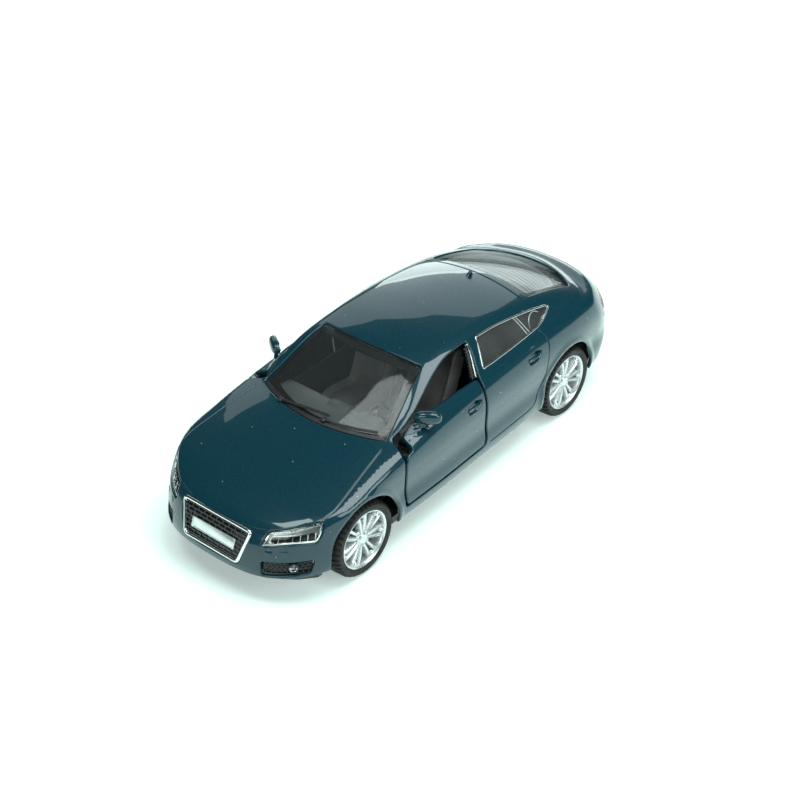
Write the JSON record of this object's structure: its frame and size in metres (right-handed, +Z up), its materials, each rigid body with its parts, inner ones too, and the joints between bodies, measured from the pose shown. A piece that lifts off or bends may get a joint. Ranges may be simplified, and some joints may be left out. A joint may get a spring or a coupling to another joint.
{
  "type": "pull back car",
  "caption": "Die-cast toy liftback car with opening front doors, clear windows, a moulded cabin, rolling wheels and a geared pull-back motor.",
  "frame": {"origin": "on the ground under the middle of the car, halfway along and across its bounding box", "axes": "+X to the car's left side, -Y to the front of the car, +Z up"},
  "size_m": [0.05, 0.1269, 0.0365],
  "materials": {
    "body_paint": "deep petrol blue gloss lacquer on cast zinc",
    "black_plastic": "satin black moulded plastic",
    "cabin_plastic": "dark grey moulded plastic with fine grain",
    "clear_plastic": "clear polystyrene",
    "red_lens": "clear red plastic",
    "chrome_plating": "vacuum plated plastic",
    "rim_plating": "bright silver plated plastic",
    "tyre_rubber": "matt black rubber with notched tread",
    "steel": "bright steel wire and strip",
    "brass": "machined brass",
    "white_plastic": "natural white acetal"
  },
  "bodies": {
    "car_body": {"body_shell": "body_paint", "hinge_pin_left": "steel", "hinge_pin_right": "steel", "window_moulding": "clear_plastic", "interior_tray": "cabin_plastic", "steering_wheel": "cabin_plastic", "headlamp_reflector_left": "chrome_plating", "headlamp_reflector_right": "chrome_plating", "headlamp_lens_left": "clear_plastic", "headlamp_lens_right": "clear_plastic", "fog_grille_left": "black_plastic", "fog_grille_right": "black_plastic", "tail_lamp_left": "red_lens", "tail_lamp_right": "red_lens", "grille_frame": "chrome_plating", "grille_mesh": "black_plastic", "number_plate": "chrome_plating", "chassis": "black_plastic", "chassis_screws": "steel", "motor_case": "white_plastic", "motor_cover": "white_plastic", "mainspring": "steel", "motor_pins": "steel"},
    "front_wheels": {"front_axle": "steel", "rim_front_left": "rim_plating", "rim_front_right": "rim_plating", "tyre_front_left": "tyre_rubber", "tyre_front_right": "tyre_rubber"},
    "rear_wheels": {"rear_axle": "steel", "rim_rear_left": "rim_plating", "rim_rear_right": "rim_plating", "tyre_rear_left": "tyre_rubber", "tyre_rear_right": "tyre_rubber", "axle_gear": "brass"},
    "left_door": {"door_left": "body_paint", "mirror_left": "body_paint"},
    "right_door": {"door_right": "body_paint", "mirror_right": "body_paint"},
    "idler": {"compound_gear": "white_plastic"},
    "spring_drum": {"spring_gear": "white_plastic"}
  },
  "joints": [
    {"name": "front_axle_spin", "type": "hinge", "parent": "car_body", "child": "front_wheels", "pos_m": [0, -0.0404, 0.0091], "axis": [1, 0, 0], "continuous": true},
    {"name": "rear_axle_spin", "type": "hinge", "parent": "car_body", "child": "rear_wheels", "pos_m": [0, 0.0343, 0.0091], "axis": [1, 0, 0], "continuous": true},
    {"name": "idler_spin", "type": "hinge", "parent": "car_body", "child": "idler", "pos_m": [0, 0.02704, 0.011], "axis": [1, 0, 0], "continuous": true},
    {"name": "spring_drum_spin", "type": "hinge", "parent": "car_body", "child": "spring_drum", "pos_m": [0, 0.01906, 0.0115], "axis": [1, 0, 0], "continuous": true},
    {"name": "left_door_swing", "type": "hinge", "parent": "car_body", "child": "left_door", "pos_m": [0.0213, -0.0244, 0.0157], "axis": [0, 0, -1], "range_deg": [0, 60]},
    {"name": "right_door_swing", "type": "hinge", "parent": "car_body", "child": "right_door", "pos_m": [-0.0213, -0.0244, 0.0157], "axis": [0, 0, 1], "range_deg": [0, 60]}
  ],
  "couplings": [
    {"joint": "idler_spin", "follows": "rear_axle_spin", "ratio": -0.5},
    {"joint": "spring_drum_spin", "follows": "rear_axle_spin", "ratio": 0.22727}
  ]
}
